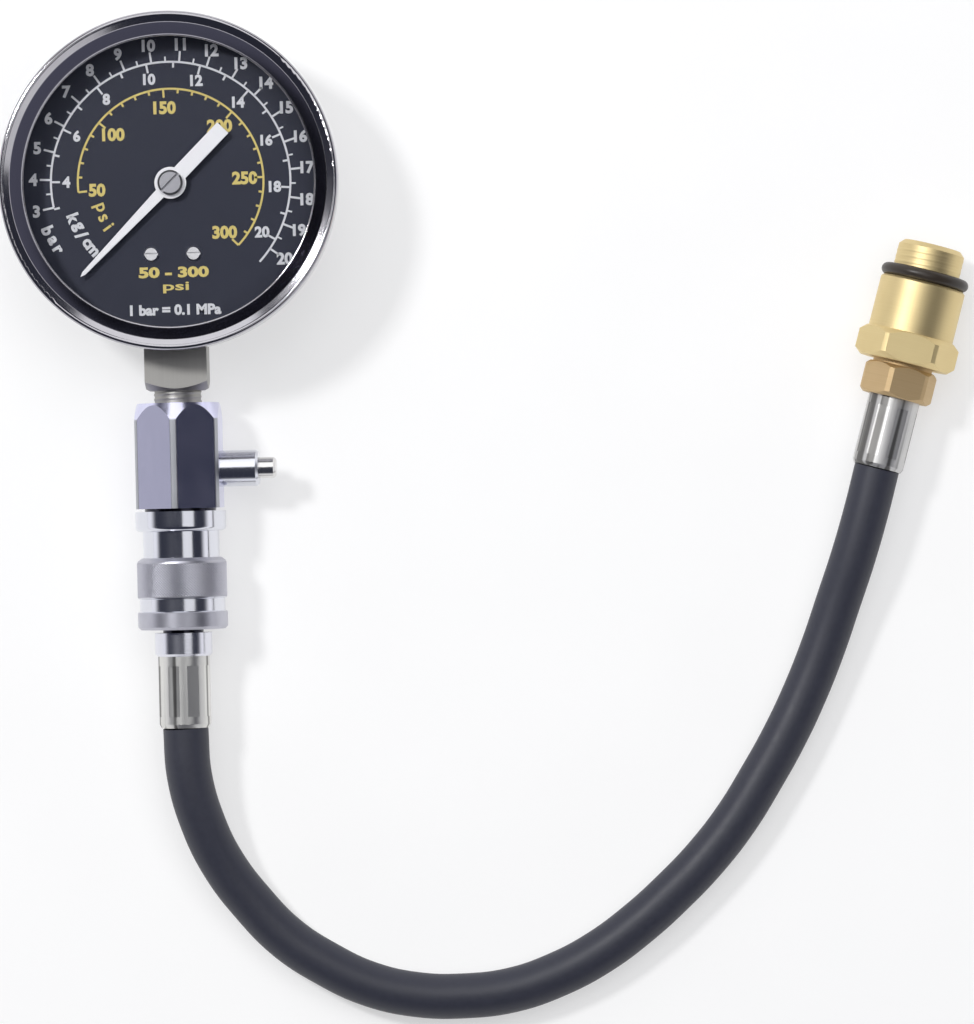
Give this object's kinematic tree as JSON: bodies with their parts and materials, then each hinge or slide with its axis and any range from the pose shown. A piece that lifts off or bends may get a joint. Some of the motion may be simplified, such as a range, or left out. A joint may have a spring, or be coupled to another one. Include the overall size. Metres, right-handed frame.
{
  "type": "engine compression tester gauge",
  "caption": "Round dial pressure gauge on a hex valve body with a bleed button, a ball-lock coupler, a crimped rubber hose and a brass spark plug adapter.",
  "frame": {"origin": "centre of the flat back of the gauge case, on the surface that the tester lies on", "axes": "+Z out of the dial, +Y towards twelve o'clock on the dial, the stem along -Y, the bleed button towards +X"},
  "size_m": [0.201, 0.2112, 0.03],
  "materials": {
    "chrome": "bright chrome plate",
    "nickel": "satin nickel plate",
    "steel": "plain turned steel",
    "brass": "bright turned brass",
    "rubber": "smooth black rubber",
    "dial": "satin dark blue-black paint",
    "pointer_white": "white paint",
    "lens": "clear"
  },
  "bodies": {
    "gauge": {"gauge_case": "chrome", "bezel_ring": "chrome", "lens": "lens", "lens_seal": "rubber", "dial_plate": "dial", "dial_screws": "steel", "dial_spacers": "brass", "bourdon_tube": "brass", "stem_socket": "brass", "back_plate": "brass", "front_plate": "brass", "plate_pillars": "brass", "plate_screws": "steel", "case_screws": "steel", "valve_body": "chrome", "bleed_barrel": "chrome", "bleed_spring": "steel", "coupler_body": "chrome", "sleeve_spring": "steel", "locking_balls": "steel", "retaining_ring": "steel", "coupler_seal": "rubber"},
    "pointer": {"pointer": "pointer_white", "pointer_boss": "steel", "pinion_arbor": "steel", "hairspring": "brass"},
    "sector": {"sector_gear": "brass"},
    "link": {"pull_link": "steel"},
    "tip": {"tube_tip": "brass"},
    "button": {"bleed_button": "steel", "bleed_seal": "rubber"},
    "sleeve": {"coupler_sleeve": "nickel"},
    "hose_line": {"hose_plug": "nickel", "plug_ferrule": "nickel", "hose": "rubber", "end_ferrule": "nickel", "end_fitting": "brass", "thread_adapter": "brass", "o_ring": "rubber", "check_valve_body": "brass", "check_valve_spring": "steel"},
    "valve_pin": {"check_valve_pin": "steel"}
  },
  "joints": [
    {"name": "pointer_turn", "type": "hinge", "parent": "gauge", "child": "pointer", "pos_m": [0, 0, 0.0125], "axis": [0, 0, -1], "range_deg": [0, 270], "stiffness_Nm_per_rad": 0.0001, "deforming": ["hairspring"]},
    {"name": "sector_swing", "type": "hinge", "parent": "gauge", "child": "sector", "pos_m": [0.0081, -0.01403, 0.0125], "axis": [0, 0, 1], "range_deg": [0, 33.8]},
    {"name": "link_swing", "type": "hinge", "parent": "sector", "child": "link", "pos_m": [0.01684, -0.01846, 0.014], "axis": [0, 0, -1], "range_deg": [0, 43.7]},
    {"name": "tip_swing", "type": "hinge", "parent": "gauge", "child": "tip", "pos_m": [-0.00375, 0.0065, 0.011], "axis": [0, 0, 1], "range_deg": [0, 9.5], "deforming": ["bourdon_tube"]},
    {"name": "bleed_press", "type": "slide", "parent": "gauge", "child": "button", "axis": [-0.9976, 0, -0.0698], "range_m": [0, 0.002], "stiffness_N_per_m": 400, "springref_m": -0.002, "deforming": ["bleed_spring"]},
    {"name": "sleeve_pull", "type": "slide", "parent": "gauge", "child": "sleeve", "axis": [0, 1, 0], "range_m": [0, 0.0035], "stiffness_N_per_m": 800, "springref_m": -0.002, "deforming": ["sleeve_spring"]},
    {"name": "hose_swivel", "type": "hinge", "parent": "gauge", "child": "hose_line", "pos_m": [0, -0.088, 0.011], "axis": [0, -1, 0], "continuous": true},
    {"name": "valve_lift", "type": "slide", "parent": "hose_line", "child": "valve_pin", "axis": [-0.2672, -0.9636, 0], "range_m": [0, 0.001], "stiffness_N_per_m": 150, "springref_m": -0.001, "deforming": ["check_valve_spring"]}
  ],
  "couplings": [
    {"joint": "sector_swing", "follows": "pointer_turn", "ratio": 0.125},
    {"joint": "link_swing", "follows": "pointer_turn", "ratio": 0.16144},
    {"joint": "tip_swing", "follows": "pointer_turn", "ratio": 0.034889}
  ]
}
